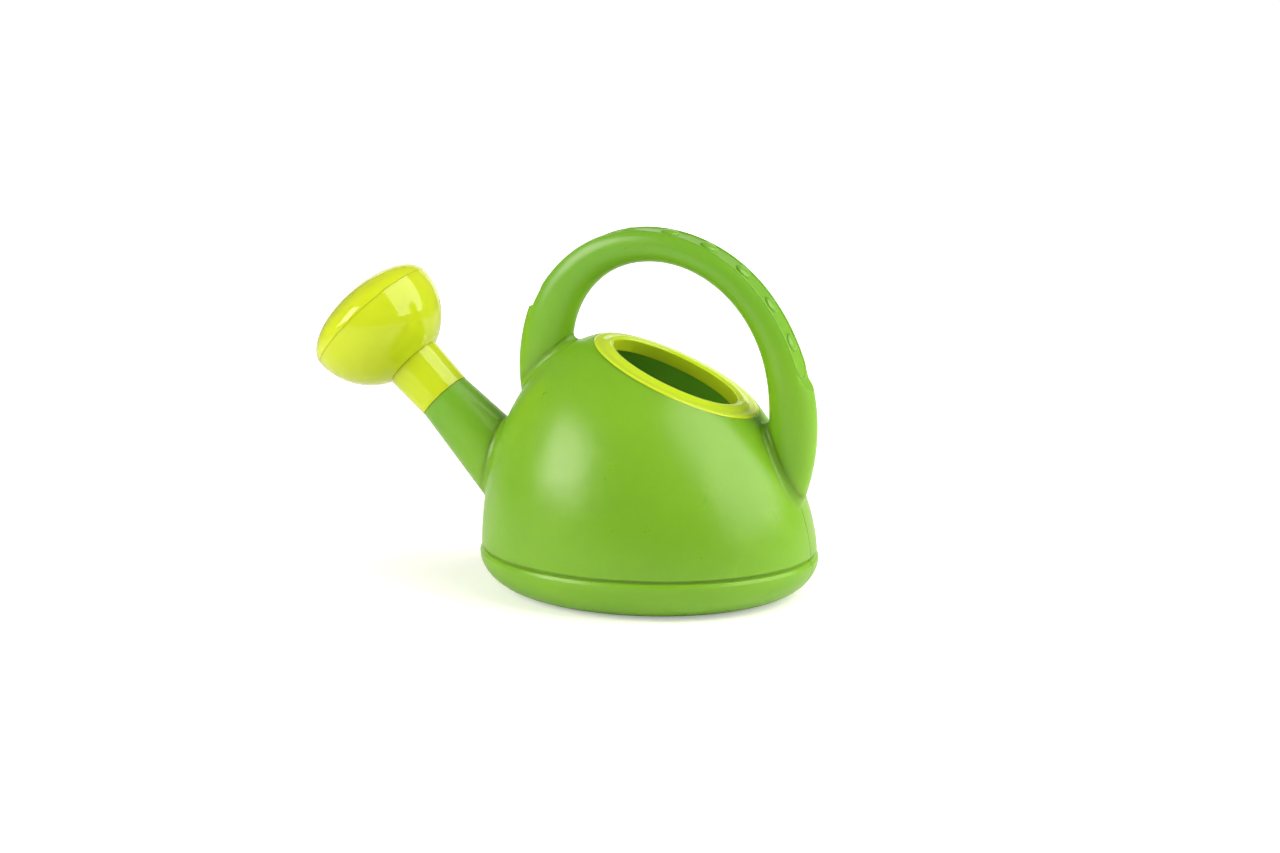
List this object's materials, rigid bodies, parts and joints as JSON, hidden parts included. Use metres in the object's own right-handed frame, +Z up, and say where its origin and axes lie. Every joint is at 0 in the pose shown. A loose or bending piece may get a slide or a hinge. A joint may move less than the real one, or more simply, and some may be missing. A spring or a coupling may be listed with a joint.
{
  "type": "watering can",
  "caption": "Small plastic watering can with an oval domed tank, looped top handle, sloped oval filler mouth with a ring, and a pull-off sprinkler rose on a short spout",
  "frame": {"origin": "centre of the oval flat foot, on the ground", "axes": "+Z up; -X is the way the spout points and +X the back of the handle; Y is across, and the can is symmetric about Y = 0"},
  "size_m": [0.2571, 0.1446, 0.1758],
  "materials": {
    "tank_plastic": "satin, lightly textured",
    "trim_plastic": "smooth gloss"
  },
  "bodies": {
    "tank": {"body_shell": "tank_plastic", "base_pan": "tank_plastic", "handle": "tank_plastic", "spout": "tank_plastic", "filler_ring": "trim_plastic"},
    "sleeve": {"rose_collar": "trim_plastic"},
    "rose": {"rose_bowl": "trim_plastic", "rose_face": "trim_plastic"}
  },
  "joints": [
    {"name": "rose_pull", "type": "slide", "parent": "tank", "child": "sleeve", "axis": [-0.7193, 0, 0.6947], "range_m": [0, 0.03]},
    {"name": "rose_turn", "type": "hinge", "parent": "sleeve", "child": "rose", "pos_m": [-0.1459, 0, 0.1239], "axis": [-0.7193, 0, 0.6947], "continuous": true}
  ]
}
